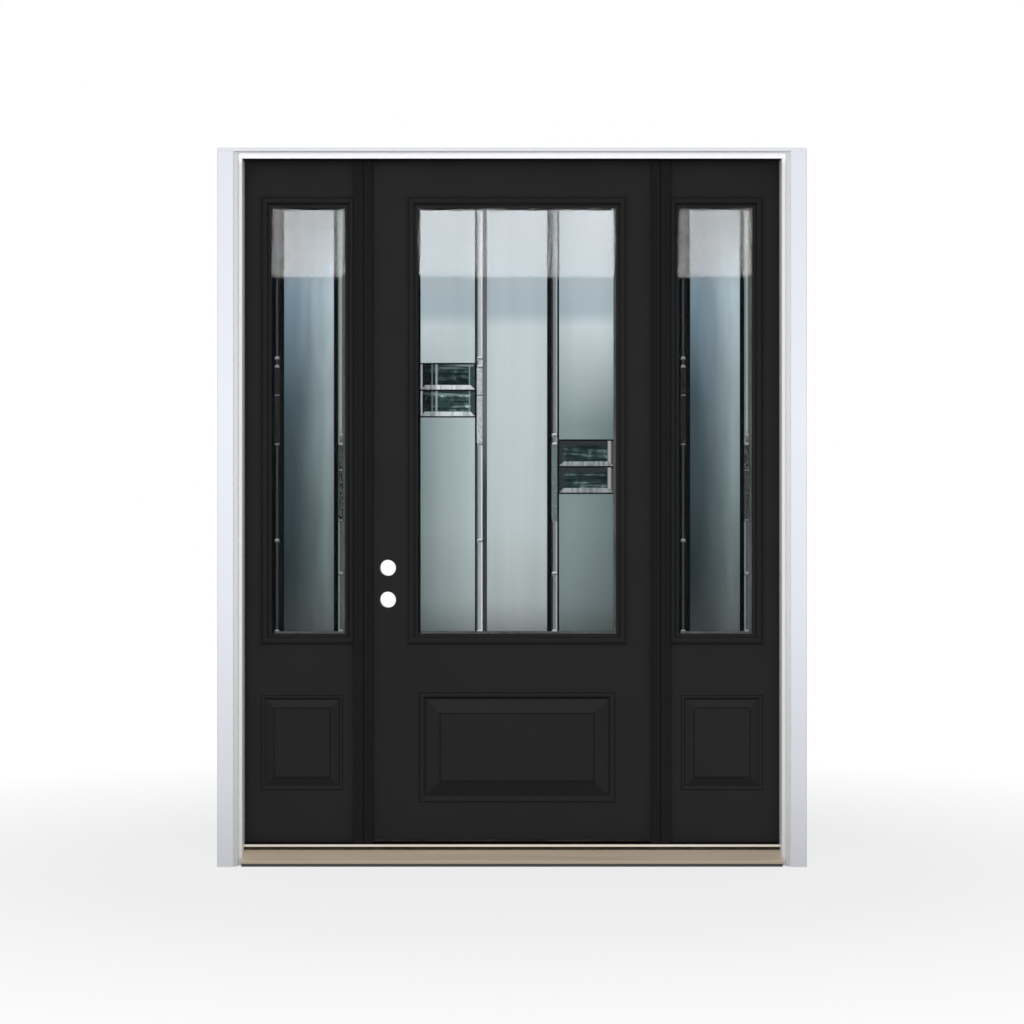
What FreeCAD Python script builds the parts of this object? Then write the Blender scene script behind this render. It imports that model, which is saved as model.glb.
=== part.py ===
# Entrance door with two sidelights: a pre-hung frame, a hinged leaf and two fixed glazed panels.
# Millimetres, +Z up, the outside of the building towards -Y.
# The origin is on the underside of the sill, midway between the jambs and on the jambs' mid-depth.
import FreeCAD, Part
import math
import os

from FreeCAD import Vector

# Frame: side jambs and head
opening_width = 1592.0
opening_height = 2085.0
jamb_thickness = 32.0
jamb_depth = 116.0
rabbet_step = 13.0
edge_round = 1.5

# Casing nailed to the outer edges of the jambs
casing_width = 48.0
casing_thickness = 32.0
casing_step_width = 11.5
casing_step_drop = 12.0
casing_round = 4.0
jamb_reveal = 10.5
head_reveal = 17.5
head_casing_height = 10.3

# Mullions between the leaf and the sidelights
mullion_centre = 443.2
mullion_width = 55.0
mullion_setback = 48.0
mullion_panel_rabbet = 19.7
mullion_joint_offset = 2.2
mullion_joint_width = 2.4
mullion_joint_depth = 1.6

# Door leaf
leaf_thickness = 44.5
leaf_gap = 5.0
leaf_lap = 6.0
lock_edge_bevel = 2.3
feature_offset = 15.0
stop_gap = 10.0

# Sweep under the leaf
sweep_height = 7.0
sweep_width = 36.0
sweep_base = 2.0
sweep_fin = 3.0
sweep_fins = 3
sweep_clearance = 5.0

# Foam seals on the stops
leaf_seal_thickness = 5.0
seal_width = 9.0
seal_show = 2.0
seal_trim_clearance = 1.15

# Sill
sill_nose_reach = 86.0
nose_top = 17.0
nose_bottom = 9.0
deck_thickness = 2.5
deck_back_top = 40.0
cap_lip_reach = 16.0
cap_top = 56.0
cap_lip_thickness = 7.0
cap_recess_reach = 6.0
cap_round = 3.0
gasket_thickness = 3.0

# Lite frames, the moulded trims that clamp the glass
lite_bottom = 680.0
lite_head_margin = 136.0
lite_frame_width = 39.0
lite_frame_rise = 11.0
trim_edge = 1.5
cove_width = 11.0
cove_rise = 7.0
crest_start = 14.0
crest_end = 25.0
crest_round = 1.5
crest_end_round = 5.0
lip_drop = 6.0
lip_rise = 3.0
lip_round = 2.0
glass_edge_play = 1.5

# Triple-glazed units
glass_unit_thickness = 25.0
glass_unit_margin = 13.5
pane_thickness = 4.0
decor_thickness = 4.0
spacer_width = 9.0
border_came_show = 6.5

# Leaf glass: sight size and leaded pattern, measured from the middle and the bottom of the lite
leaf_sight_width = 589.5
thick_came_offset = 96.5
thick_came_width = 13.0
thin_came_offset = 123.0
thin_came_width = 5.0
came_depth = 7.0
bevel_rows = 2
bevel_pitch = 79.5
left_bevel_rise = 806.0
right_bevel_rise = 577.5
bevel_facet = 13.5
bevel_edge = 2.0

# Sidelight glass
sidelight_jamb_margin = 80.0
trim_stop_clearance = 1.45
sidelight_came_inset = 28.7
panel_fit = 1.0

# Joint bars across the narrow strips, as heights above the bottom of the lite
outer_strip_joints = (820.5, 795.5, 712.0, 565.5, 276.0)
inner_strip_joints = (591.0, 563.5, 488.0, 338.5, 177.5)
joint_bar_width = 4.0

# Raised panel of the leaf
leaf_panel_width = 586.0
leaf_panel_height = 329.0
leaf_panel_bottom = 177.0
leaf_quirk = 4.0
leaf_bead = 9.0
leaf_ovolo = 8.0
leaf_slope = 41.0
leaf_panel_depth = 9.0
leaf_quirk_depth = 3.0

# Raised panels of the sidelights
side_panel_jamb_margin = 48.5
side_panel_mullion_margin = 32.8
side_panel_height = 283.0
side_panel_bottom = 214.0
side_quirk = 3.0
side_bead = 5.0
side_ovolo = 6.0
side_slope = 23.0
side_panel_depth = 6.0
side_quirk_depth = 2.4

# Panel mouldings: the bead's depth below the face, and the ovolo's rounding as a share of its width
bead_drop = 0.6
ovolo_turn = 0.9

# How far cutters run past the faces they cut
cutter_overrun = 1.0

# Lock bores
bore_diameter = 48.0
bore_backset = 51.7
lower_bore_height = 781.0
bore_spacing = 95.0
latch_bore_diameter = 25.0

# Butt hinges
hinge_height = 100.0
hinge_count = 3
hinge_end_distance = 180.0
hinge_leaf_thickness = 2.5
hinge_leaf_depth = 38.0
barrel_radius = 6.5
pin_radius = 3.2
pin_play = 0.3
barrel_clearance = 0.5
pin_head_height = 3.0
pin_head_radius = 5.0
knuckles = 5
knuckle_play = 0.4

# Places worked out from the sizes above
front_plane = -jamb_depth / 2
inner_plane = jamb_depth / 2
leaf_front = inner_plane - leaf_thickness
stop_back = leaf_front - stop_gap
casing_front = front_plane - casing_thickness
jamb_stop_edge = opening_width / 2
jamb_rabbet = jamb_stop_edge + rabbet_step
jamb_outside = jamb_stop_edge + jamb_thickness
head_rabbet = opening_height + rabbet_step
head_top = opening_height + jamb_thickness
casing_inside = jamb_stop_edge + jamb_reveal
casing_step = casing_inside + casing_step_width
casing_outside = casing_step + casing_width
head_casing_bottom = opening_height + head_reveal
mullion_front = front_plane + mullion_setback
door_stop_edge = mullion_centre - mullion_width / 2
panel_stop_edge = mullion_centre + mullion_width / 2
leaf_edge = door_stop_edge + leaf_lap
door_rabbet = leaf_edge + leaf_gap
panel_rabbet = panel_stop_edge - mullion_panel_rabbet
leaf_bottom = cap_top + sweep_clearance + sweep_height
leaf_top = head_rabbet - leaf_gap
glass_front = leaf_front + (leaf_thickness - glass_unit_thickness) / 2
glass_back = glass_front + glass_unit_thickness
decor_front = (glass_front + glass_back - decor_thickness) / 2
decor_back = decor_front + decor_thickness
lite_top = opening_height - lite_head_margin
trim_leg_width = glass_unit_margin + glass_edge_play
sidelight_trim_edge = panel_stop_edge + trim_stop_clearance - crest_start
sidelight_sight_inner = sidelight_trim_edge + lite_frame_width
sidelight_sight_outer = jamb_stop_edge - sidelight_jamb_margin
cap_lip_bottom = cap_top - cap_lip_thickness
pin_x = leaf_edge + leaf_gap / 2
pin_y = inner_plane + barrel_radius + barrel_clearance


def block(x0, x1, y0, y1, z0, z1):
    """A rectangular block between two corners."""
    return Part.makeBox(x1 - x0, y1 - y0, z1 - z0, Vector(x0, y0, z0))


def outline(corners, place):
    """A closed wire through (a, b, radius) corners, each rounded by its radius."""
    flat = [Vector(a, b, 0) for a, b, radius in corners]
    edges = []
    joints = []
    for index, (a, b, radius) in enumerate(corners):
        here = flat[index]
        if radius == 0:
            joints.append((here, None, here))
            continue
        back = (flat[index - 1] - here).normalize()
        ahead = (flat[(index + 1) % len(flat)] - here).normalize()
        half_angle = back.getAngle(ahead) / 2
        middle = (back + ahead).normalize()
        reach = radius / math.tan(half_angle)
        nearest = here + middle * (radius / math.sin(half_angle) - radius)
        joints.append((here + back * reach, nearest, here + ahead * reach))
    for index, (start, nearest, end) in enumerate(joints):
        if nearest is not None:
            points = [place(p.x, p.y) for p in (start, nearest, end)]
            edges.append(Part.Arc(*points).toShape())
        following = joints[(index + 1) % len(joints)][0]
        if end.distanceToPoint(following) > 1e-6:
            line = Part.LineSegment(place(end.x, end.y), place(following.x, following.y))
            edges.append(line.toShape())
    return Part.Wire(edges)


def square_corners(points):
    """Corners without rounding."""
    return [(a, b, 0) for a, b in points]


def plan_bar(corners, z0, z1):
    """An upright bar with the section given in plan."""
    wire = outline(corners, lambda a, b: Vector(a, b, z0))
    return Part.Face(wire).extrude(Vector(0, 0, z1 - z0))


def cross_bar(corners, x0, x1):
    """A level bar along X with the section given as (y, z)."""
    wire = outline(corners, lambda a, b: Vector(x0, a, b))
    return Part.Face(wire).extrude(Vector(x1 - x0, 0, 0))


def front_plate(points, y0, y1):
    """A plate with the outline given as (x, z)."""
    wire = outline(square_corners(points), lambda a, b: Vector(a, y0, b))
    return Part.Face(wire).extrude(Vector(0, y1 - y0, 0))


def mirrored(shape):
    """The same piece on the other side of the door's middle."""
    return shape.mirror(Vector(0, 0, 0), Vector(1, 0, 0))


def fused(shapes):
    """Several touching shapes as one solid with merged faces."""
    return shapes[0].multiFuse(shapes[1:]).removeSplitter()


def mitred_ring(x0, x1, z0, z1, face, outward, section):
    """Four mitred lengths of moulding round a rectangle.

    The section's corners are (inset from the rectangle, rise above the face), and outward is the
    way along Y in which the rise is measured.
    """
    depth = max(inset for inset, rise, radius in section)
    low = min(rise for inset, rise, radius in section)
    high = max(rise for inset, rise, radius in section)
    y0, y1 = sorted((face + outward * low, face + outward * high))
    inner_x0, inner_x1 = x0 + depth, x1 - depth
    inner_z0, inner_z1 = z0 + depth, z1 - depth
    sides = (
        (lambda a, b: Vector(x0, face + outward * b, z0 + a), Vector(x1 - x0, 0, 0),
         [(x0, z0), (x1, z0), (inner_x1, inner_z0), (inner_x0, inner_z0)]),
        (lambda a, b: Vector(x0, face + outward * b, z1 - a), Vector(x1 - x0, 0, 0),
         [(x0, z1), (x1, z1), (inner_x1, inner_z1), (inner_x0, inner_z1)]),
        (lambda a, b: Vector(x0 + a, face + outward * b, z0), Vector(0, 0, z1 - z0),
         [(x0, z0), (x0, z1), (inner_x0, inner_z1), (inner_x0, inner_z0)]),
        (lambda a, b: Vector(x1 - a, face + outward * b, z0), Vector(0, 0, z1 - z0),
         [(x1, z0), (x1, z1), (inner_x1, inner_z1), (inner_x1, inner_z0)]),
    )
    lengths = []
    for place, run, mitre in sides:
        length = Part.Face(outline(section, place)).extrude(run)
        lengths.append(length.common(front_plate(mitre, y0, y1)))
    return fused(lengths)


def lite_frame(x0, x1, face, outward):
    """A moulded trim round a lite, with a leg that reaches into the cut-out and bears on the glass."""
    width = lite_frame_width
    leg = width - trim_leg_width
    bearing = -(leaf_thickness - glass_unit_thickness) / 2
    section = [
        (0, 0, 0),
        (0, trim_edge, 0),
        (cove_width, trim_edge, cove_rise - trim_edge),
        (cove_width, cove_rise, 0),
        (crest_start, cove_rise, 0),
        (crest_start, lite_frame_rise, crest_round),
        (crest_end, lite_frame_rise, crest_end_round),
        (crest_end + lip_drop, lip_rise, lip_round),
        (width, lip_rise, 0),
        (width, bearing, 0),
        (leg, bearing, 0),
        (leg, 0, 0),
    ]
    return mitred_ring(
        x0 - width, x1 + width, lite_bottom - width, lite_top + width, face, outward, section)


def panel_groove(x0, x1, z0, z1, face, outward, widths, depth, quirk_depth):
    """The cutter for the moulded groove round a raised panel."""
    quirk, bead, ovolo, slope = widths
    shoulder = quirk + bead
    valley = shoulder + ovolo
    crest = valley + slope
    section = [
        (0, cutter_overrun, 0),
        (0, -quirk_depth, 0),
        (quirk, -quirk_depth, 0),
        (quirk, -bead_drop, 0),
        (shoulder, -bead_drop, ovolo * ovolo_turn),
        (valley, -depth, 0),
        (crest, -bead_drop, 0),
        (crest, -quirk_depth, 0),
        (crest + quirk, -quirk_depth, 0),
        (crest + quirk, cutter_overrun, 0),
    ]
    return mitred_ring(x0, x1, z0, z1, face, outward, section)


def both_faces(panel, x0, x1, z0, height, widths, depth, quirk_depth):
    """A panel with the raised-panel groove pressed into its outer and inner skins."""
    for face, outward in ((leaf_front, -1), (inner_plane, 1)):
        groove = panel_groove(x0, x1, z0, z0 + height, face, outward, widths, depth, quirk_depth)
        panel = panel.cut(groove)
    return panel


def lite_edges(x0, x1, margin):
    """The edges of a lite, moved outwards by a margin."""
    return x0 - margin, x1 + margin, lite_bottom - margin, lite_top + margin


def lite_cutout(x0, x1):
    """The hole through a panel for its glazed unit."""
    x0, x1, z0, z1 = lite_edges(x0, x1, trim_leg_width)
    return block(x0, x1, leaf_front - cutter_overrun, inner_plane + cutter_overrun, z0, z1)


def glazing(x0, x1):
    """The outer and inner panes and the two spacer rings."""
    edge_x0, edge_x1, edge_z0, edge_z1 = lite_edges(x0, x1, glass_unit_margin)
    outer = block(edge_x0, edge_x1, glass_front, glass_front + pane_thickness, edge_z0, edge_z1)
    inner = block(edge_x0, edge_x1, glass_back - pane_thickness, glass_back, edge_z0, edge_z1)
    rings = []
    gaps = ((glass_front + pane_thickness, decor_front), (decor_back, glass_back - pane_thickness))
    for y0, y1 in gaps:
        ring = block(edge_x0, edge_x1, y0, y1, edge_z0, edge_z1)
        hole = block(edge_x0 + spacer_width, edge_x1 - spacer_width, y0, y1,
                     edge_z0 + spacer_width, edge_z1 - spacer_width)
        rings.append(ring.cut(hole))
    return Part.makeCompound([outer, inner]), Part.makeCompound(rings)


def leaded_edges(x0, x1):
    """The edges of the leaded glass, inside its border came."""
    return lite_edges(x0, x1, -border_came_show)


def glass_layer(x0, x1, z0, z1):
    """A flat piece in the plane of the leaded glass."""
    return block(x0, x1, decor_front, decor_back, z0, z1)


def came(x0, x1, z0, z1):
    """One length of came, standing proud of the glass on both sides."""
    middle = (decor_front + decor_back) / 2
    return block(x0, x1, middle - came_depth / 2, middle + came_depth / 2, z0, z1)


def border_came(x0, x1):
    """The came round the leaded layer: a tongue between the two spacers and a band that shows inside them."""
    between_spacers = lite_edges(x0, x1, glass_unit_margin - spacer_width)
    tongue = glass_layer(*lite_edges(x0, x1, glass_unit_margin)).cut(glass_layer(*between_spacers))
    band = came(*between_spacers).cut(came(*leaded_edges(x0, x1)))
    return fused([tongue, band])


def upright_came(x, width):
    """A came from the bottom of the border to its top."""
    return came(x - width / 2, x + width / 2, lite_bottom + border_came_show, lite_top - border_came_show)


def level_cames(x0, x1, heights):
    """Short level cames between two uprights or an upright and the edge."""
    half = joint_bar_width / 2
    middles = [lite_bottom + height for height in heights]
    return [came(x0, x1, middle - half, middle + half) for middle in middles]


def glass_between(x0, x1, cames):
    """The leaded layer's glass, cut into pieces by its cames."""
    return glass_layer(*leaded_edges(x0, x1)).cut(cames)


def bevelled_piece(x0, x1, z0, z1):
    """A piece of thick glass with ground facets on its outer face."""
    front = decor_front - (came_depth - decor_thickness) / 2
    back_slab = block(x0, x1, decor_back - bevel_edge, decor_back, z0, z1)
    facets = Part.makeWedge(
        x0 + bevel_facet, front, z0 + bevel_facet, z0, x0,
        x1 - bevel_facet, decor_back - bevel_edge, z1 - bevel_facet, z1, x1)
    return fused([back_slab, facets])


def make_frame():
    """Side jambs, head, casings and mullions."""
    jamb = plan_bar([
        (-jamb_outside, front_plane, edge_round),
        (-jamb_stop_edge, front_plane, edge_round),
        (-jamb_stop_edge, stop_back, edge_round),
        (-jamb_rabbet, stop_back, 0),
        (-jamb_rabbet, inner_plane, edge_round),
        (-jamb_outside, inner_plane, edge_round),
    ], 0, head_top)
    head = cross_bar([
        (front_plane, head_top, edge_round),
        (front_plane, opening_height, edge_round),
        (stop_back, opening_height, edge_round),
        (stop_back, head_rabbet, 0),
        (inner_plane, head_rabbet, edge_round),
        (inner_plane, head_top, edge_round),
    ], -jamb_outside, jamb_outside)
    jamb = jamb.cut(block(-jamb_outside, -jamb_stop_edge, front_plane, stop_back, opening_height, head_top))
    jamb = jamb.cut(block(-jamb_outside, -jamb_rabbet, stop_back, inner_plane, head_rabbet, head_top))
    casing = plan_bar([
        (-casing_outside, front_plane, 0),
        (-casing_outside, casing_front, casing_round),
        (-casing_step, casing_front, casing_round),
        (-casing_step, casing_front + casing_step_drop, 0),
        (-casing_inside, casing_front + casing_step_drop, edge_round),
        (-casing_inside, front_plane, 0),
    ], 0, head_casing_bottom)
    head_casing = cross_bar([
        (front_plane, head_casing_bottom, 0),
        (casing_front, head_casing_bottom, edge_round),
        (casing_front, head_casing_bottom + head_casing_height, casing_round),
        (front_plane, head_casing_bottom + head_casing_height, 0),
    ], -casing_outside, casing_outside)
    joint = -mullion_centre + mullion_joint_offset
    mullion = plan_bar([
        (-panel_stop_edge, mullion_front, edge_round),
        (joint - mullion_joint_width / 2, mullion_front, 0),
        (joint, mullion_front + mullion_joint_depth, 0),
        (joint + mullion_joint_width / 2, mullion_front, 0),
        (-door_stop_edge, mullion_front, edge_round),
        (-door_stop_edge, stop_back, edge_round),
        (-door_rabbet, stop_back, 0),
        (-door_rabbet, inner_plane, edge_round),
        (-panel_rabbet, inner_plane, edge_round),
        (-panel_rabbet, stop_back, 0),
        (-panel_stop_edge, stop_back, edge_round),
    ], cap_top, head_rabbet)
    mullion = mullion.cut(block(-panel_stop_edge, -door_stop_edge, mullion_front, stop_back,
                                opening_height, head_rabbet))
    return {
        "left_jamb": jamb,
        "right_jamb": mirrored(jamb),
        "head_jamb": head,
        "left_casing": casing,
        "right_casing": mirrored(casing),
        "head_casing": head_casing,
        "left_mullion": mullion,
        "right_mullion": mirrored(mullion),
    }


def make_sill():
    """Dark base, sloped metal deck, gasket and threshold cap, all fitted between the jambs."""
    shelf = -cap_recess_reach
    fall = (deck_back_top - nose_top) / (sill_nose_reach - cap_recess_reach)
    deck = cross_bar([
        (shelf, deck_back_top, 0),
        (-sill_nose_reach, nose_top, cap_round),
        (-sill_nose_reach, nose_bottom, 0),
        (-sill_nose_reach + deck_thickness, nose_bottom, 0),
        (-sill_nose_reach + deck_thickness, nose_top + fall * deck_thickness - deck_thickness, 0),
        (shelf, deck_back_top - deck_thickness, 0),
    ], -jamb_rabbet, jamb_rabbet)
    base = cross_bar(square_corners([
        (-sill_nose_reach + deck_thickness, 0),
        (inner_plane, 0),
        (inner_plane, deck_back_top),
        (shelf, deck_back_top),
        (shelf, deck_back_top - deck_thickness),
        (-sill_nose_reach + deck_thickness, nose_top + fall * deck_thickness - deck_thickness),
    ]), -jamb_rabbet, jamb_rabbet)
    cap = cross_bar([
        (-cap_lip_reach, cap_lip_bottom, edge_round),
        (-cap_lip_reach, cap_top, cap_round),
        (inner_plane, cap_top, cap_round),
        (inner_plane, deck_back_top, 0),
        (shelf, deck_back_top, 0),
        (shelf, cap_lip_bottom, 0),
    ], -jamb_rabbet, jamb_rabbet)
    rise = fall * gasket_thickness
    gasket = cross_bar(square_corners([
        (shelf, deck_back_top),
        (shelf, cap_lip_bottom),
        (shelf - gasket_thickness, cap_lip_bottom),
        (shelf - gasket_thickness, deck_back_top - rise),
    ]), -jamb_rabbet, jamb_rabbet)
    left_stop = block(-jamb_rabbet, -jamb_stop_edge, -sill_nose_reach, stop_back, 0, cap_top)
    right_stop = mirrored(left_stop)
    pieces = {"sill_base": base, "sill_deck": deck, "threshold_cap": cap, "threshold_gasket": gasket}
    return {name: piece.cut(left_stop).cut(right_stop) for name, piece in pieces.items()}


def make_seals():
    """Foam strips between the stops and the panels they face."""
    panel_strips = [
        block(-jamb_stop_edge - seal_width, -jamb_stop_edge + seal_show, stop_back, leaf_front,
              cap_top, opening_height - seal_show),
        block(-sidelight_trim_edge + seal_trim_clearance, -panel_rabbet, stop_back, leaf_front,
              cap_top, opening_height - seal_show),
        block(-jamb_stop_edge - seal_width, -panel_rabbet, stop_back, leaf_front,
              opening_height - seal_show, opening_height + seal_width),
    ]
    left = fused(panel_strips)
    reach = stop_back + leaf_seal_thickness
    outer = door_stop_edge + seal_width
    inner = door_stop_edge - seal_show
    leaf_strips = [
        block(-outer, -inner, stop_back, reach, cap_top, opening_height - seal_show),
        block(inner, outer, stop_back, reach, cap_top, opening_height - seal_show),
        block(-outer, outer, stop_back, reach, opening_height - seal_show, opening_height + seal_width),
    ]
    return {"left_sidelight_seal": left, "right_sidelight_seal": mirrored(left),
            "door_seal": fused(leaf_strips)}


def make_sidelight():
    """The left sidelight: panel, lite frames and triple-glazed unit with its leaded layer."""
    x0 = -sidelight_sight_outer
    x1 = -sidelight_sight_inner
    panel = block(-jamb_rabbet + panel_fit, -panel_rabbet - panel_fit, leaf_front, inner_plane,
                  cap_top, head_rabbet - panel_fit)
    panel = panel.cut(lite_cutout(x0, x1))
    raised_x0 = -jamb_stop_edge + side_panel_jamb_margin
    raised_x1 = -panel_stop_edge - side_panel_mullion_margin
    widths = (side_quirk, side_bead, side_ovolo, side_slope)
    panel = both_faces(panel, raised_x0, raised_x1, side_panel_bottom, side_panel_height,
                       widths, side_panel_depth, side_quirk_depth)
    panes, spacer = glazing(x0, x1)
    outer_came = x0 + sidelight_came_inset
    inner_came = x1 - sidelight_came_inset
    half = thick_came_width / 2
    clear_x0, clear_x1 = leaded_edges(x0, x1)[:2]
    cames = fused(
        [border_came(x0, x1)]
        + [upright_came(x, thick_came_width) for x in (outer_came, inner_came)]
        + level_cames(clear_x0, outer_came - half, outer_strip_joints)
        + level_cames(inner_came + half, clear_x1, inner_strip_joints))
    return {
        "sidelight_panel": panel,
        "sidelight_outer_trim": lite_frame(x0, x1, leaf_front, -1),
        "sidelight_inner_trim": lite_frame(x0, x1, inner_plane, 1),
        "sidelight_panes": panes,
        "sidelight_spacer": spacer,
        "sidelight_decor_glass": glass_between(x0, x1, cames),
        "sidelight_cames": cames,
    }


def make_leaf():
    """The door leaf: slab, lite frames, triple-glazed unit with its leaded layer, and sweep."""
    x0 = feature_offset - leaf_sight_width / 2
    x1 = feature_offset + leaf_sight_width / 2
    slab = plan_bar(square_corners([
        (-leaf_edge + lock_edge_bevel, leaf_front),
        (leaf_edge, leaf_front),
        (leaf_edge, inner_plane),
        (-leaf_edge, inner_plane),
    ]), leaf_bottom, leaf_top)
    slab = slab.cut(lite_cutout(x0, x1))
    raised_x0 = feature_offset - leaf_panel_width / 2
    widths = (leaf_quirk, leaf_bead, leaf_ovolo, leaf_slope)
    slab = both_faces(slab, raised_x0, raised_x0 + leaf_panel_width, leaf_panel_bottom,
                      leaf_panel_height, widths, leaf_panel_depth, leaf_quirk_depth)
    bore_x = -leaf_edge + bore_backset
    for step in range(2):
        height = lower_bore_height + step * bore_spacing
        cross = Part.makeCylinder(bore_diameter / 2, leaf_thickness,
                                  Vector(bore_x, leaf_front, height), Vector(0, 1, 0))
        latch = Part.makeCylinder(latch_bore_diameter / 2, bore_backset,
                                  Vector(-leaf_edge, leaf_front + leaf_thickness / 2, height),
                                  Vector(1, 0, 0))
        slab = slab.cut(cross).cut(latch)
    panes, spacer = glazing(x0, x1)
    clear_x0, clear_x1 = leaded_edges(x0, x1)[:2]
    cames = [border_came(x0, x1)]
    bevels = []
    bevel_places = []
    half_thin = thin_came_width / 2
    half_bar = joint_bar_width / 2
    sides = ((-1, outer_strip_joints, left_bevel_rise), (1, inner_strip_joints, right_bevel_rise))
    for side, joints, bevel_rise in sides:
        thick = feature_offset + side * thick_came_offset
        thin = feature_offset + side * thin_came_offset
        cames.append(upright_came(thick, thick_came_width))
        cames.append(upright_came(thin, thin_came_width))
        strip = sorted((thick + side * thick_came_width / 2, thin - side * half_thin))
        cames += level_cames(strip[0], strip[1], joints)
        edge = clear_x0 if side < 0 else clear_x1
        field = sorted((thin + side * half_thin, edge))
        rows = [bevel_rise - row * bevel_pitch for row in range(bevel_rows + 1)]
        cames += level_cames(field[0], field[1], rows)
        for top, bottom in zip(rows, rows[1:]):
            z0 = lite_bottom + bottom + half_bar
            z1 = lite_bottom + top - half_bar
            bevels.append(bevelled_piece(field[0], field[1], z0, z1))
            bevel_places.append(glass_layer(field[0], field[1], z0, z1))
    cames = fused(cames)
    return {
        "door_slab": slab,
        "door_outer_trim": lite_frame(x0, x1, leaf_front, -1),
        "door_inner_trim": lite_frame(x0, x1, inner_plane, 1),
        "door_panes": panes,
        "door_spacer": spacer,
        "door_decor_glass": glass_between(x0, x1, cames).cut(bevel_places),
        "door_bevels": Part.makeCompound(bevels),
        "door_cames": cames,
        "door_sweep": make_sweep(),
    }


def make_sweep():
    """The rubber sweep under the leaf: a carrier strip with fins spread over its width."""
    x0, x1 = -leaf_edge + lock_edge_bevel, leaf_edge
    first = (leaf_front + inner_plane - sweep_width) / 2
    carrier_bottom = leaf_bottom - sweep_base
    strips = [block(x0, x1, first, first + sweep_width, carrier_bottom, leaf_bottom)]
    pitch = (sweep_width - sweep_fin) / (sweep_fins - 1)
    for index in range(sweep_fins):
        start = first + index * pitch
        strips.append(block(x0, x1, start, start + sweep_fin, leaf_bottom - sweep_height, carrier_bottom))
    return fused(strips)


def hinge_heights():
    """The lower ends of the hinges, evenly spaced up the leaf."""
    first = leaf_bottom + hinge_end_distance
    last = leaf_top - hinge_end_distance - hinge_height
    return [first + index * (last - first) / (hinge_count - 1) for index in range(hinge_count)]


def hinge_leaf(bottom, plate_x0, plate_x1, turns):
    """A hinge leaf: its plate and the knuckles it carries, bored for the pin."""
    plate_y0 = inner_plane - hinge_leaf_depth
    parts = [block(plate_x0, plate_x1, plate_y0, inner_plane, bottom, bottom + hinge_height)]
    length = hinge_height / knuckles
    for turn in turns:
        z0 = bottom + turn * length + knuckle_play / 2
        z1 = bottom + (turn + 1) * length - knuckle_play / 2
        parts.append(block(plate_x0, plate_x1, inner_plane, pin_y, z0, z1))
        parts.append(Part.makeCylinder(barrel_radius, z1 - z0, Vector(pin_x, pin_y, z0)))
    leaf = fused(parts)
    bore = Part.makeCylinder(pin_radius + pin_play, hinge_height, Vector(pin_x, pin_y, bottom))
    return leaf.cut(bore)


def make_hinges():
    """Three butt hinges at the right-hand mullion: frame leaves, leaf leaves and pins."""
    frame_leaves = []
    door_leaves = []
    pins = []
    frame_turns = range(0, knuckles, 2)
    door_turns = range(1, knuckles, 2)
    for bottom in hinge_heights():
        frame_leaves.append(
            hinge_leaf(bottom, door_rabbet, door_rabbet + hinge_leaf_thickness, frame_turns))
        door_leaves.append(
            hinge_leaf(bottom, leaf_edge - hinge_leaf_thickness, leaf_edge, door_turns))
        shank = Part.makeCylinder(pin_radius, hinge_height, Vector(pin_x, pin_y, bottom))
        head = Part.makeCylinder(pin_head_radius, pin_head_height,
                                 Vector(pin_x, pin_y, bottom + hinge_height))
        pins.append(fused([shank, head]))
    return frame_leaves, door_leaves, pins


pieces = make_frame()
pieces.update(make_sill())
pieces.update(make_seals())
# Both sidelights hold the same leaded layer, the same way round
leaded_layer = ("sidelight_decor_glass", "sidelight_cames")
sidelight_shift = Vector(sidelight_sight_outer + sidelight_sight_inner, 0, 0)
for name, shape in make_sidelight().items():
    pieces["left_" + name] = shape
    if name in leaded_layer:
        pieces["right_" + name] = shape.translated(sidelight_shift)
    else:
        pieces["right_" + name] = mirrored(shape)
pieces.update(make_leaf())
frame_leaves, door_leaves, pins = make_hinges()
for leaf in frame_leaves:
    pieces["right_mullion"] = pieces["right_mullion"].cut(leaf)
for leaf in door_leaves:
    pieces["door_slab"] = pieces["door_slab"].cut(leaf)
pieces["frame_hinge_leaves"] = Part.makeCompound(frame_leaves)
pieces["door_hinge_leaves"] = Part.makeCompound(door_leaves)
pieces["hinge_pins"] = Part.makeCompound(pins)

os.makedirs("parts", exist_ok=True)
for name, shape in pieces.items():
    shape.exportStep("parts/" + name + ".step")
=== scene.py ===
import math

import bmesh
import bpy
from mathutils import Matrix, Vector


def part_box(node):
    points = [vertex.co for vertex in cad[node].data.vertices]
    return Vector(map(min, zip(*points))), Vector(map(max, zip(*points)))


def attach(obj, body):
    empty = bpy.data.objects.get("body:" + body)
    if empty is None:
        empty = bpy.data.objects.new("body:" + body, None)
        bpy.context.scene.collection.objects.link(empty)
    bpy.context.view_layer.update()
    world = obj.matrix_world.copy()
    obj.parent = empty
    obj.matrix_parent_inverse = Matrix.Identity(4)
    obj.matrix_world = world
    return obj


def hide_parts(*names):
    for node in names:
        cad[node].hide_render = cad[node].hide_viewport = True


# Entrance door with two sidelights: finishes, leaded glass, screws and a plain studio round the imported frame.
# Metres, +Z up, the outside of the building towards -Y.
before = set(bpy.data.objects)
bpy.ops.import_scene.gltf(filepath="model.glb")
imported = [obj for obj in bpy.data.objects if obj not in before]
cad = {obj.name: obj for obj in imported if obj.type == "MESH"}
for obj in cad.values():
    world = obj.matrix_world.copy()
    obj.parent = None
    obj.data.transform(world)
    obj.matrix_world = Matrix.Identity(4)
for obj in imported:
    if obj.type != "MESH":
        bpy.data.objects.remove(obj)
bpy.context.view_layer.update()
scene = bpy.context.scene
scene.view_settings.view_transform = "Standard"

# Viewpoint: level, square to the door, seven metres in front of the casing
EYE_HEIGHT = 1.0426
EYE_DISTANCE = 7.09
LENS = 83.82
SENSOR = 36

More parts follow.
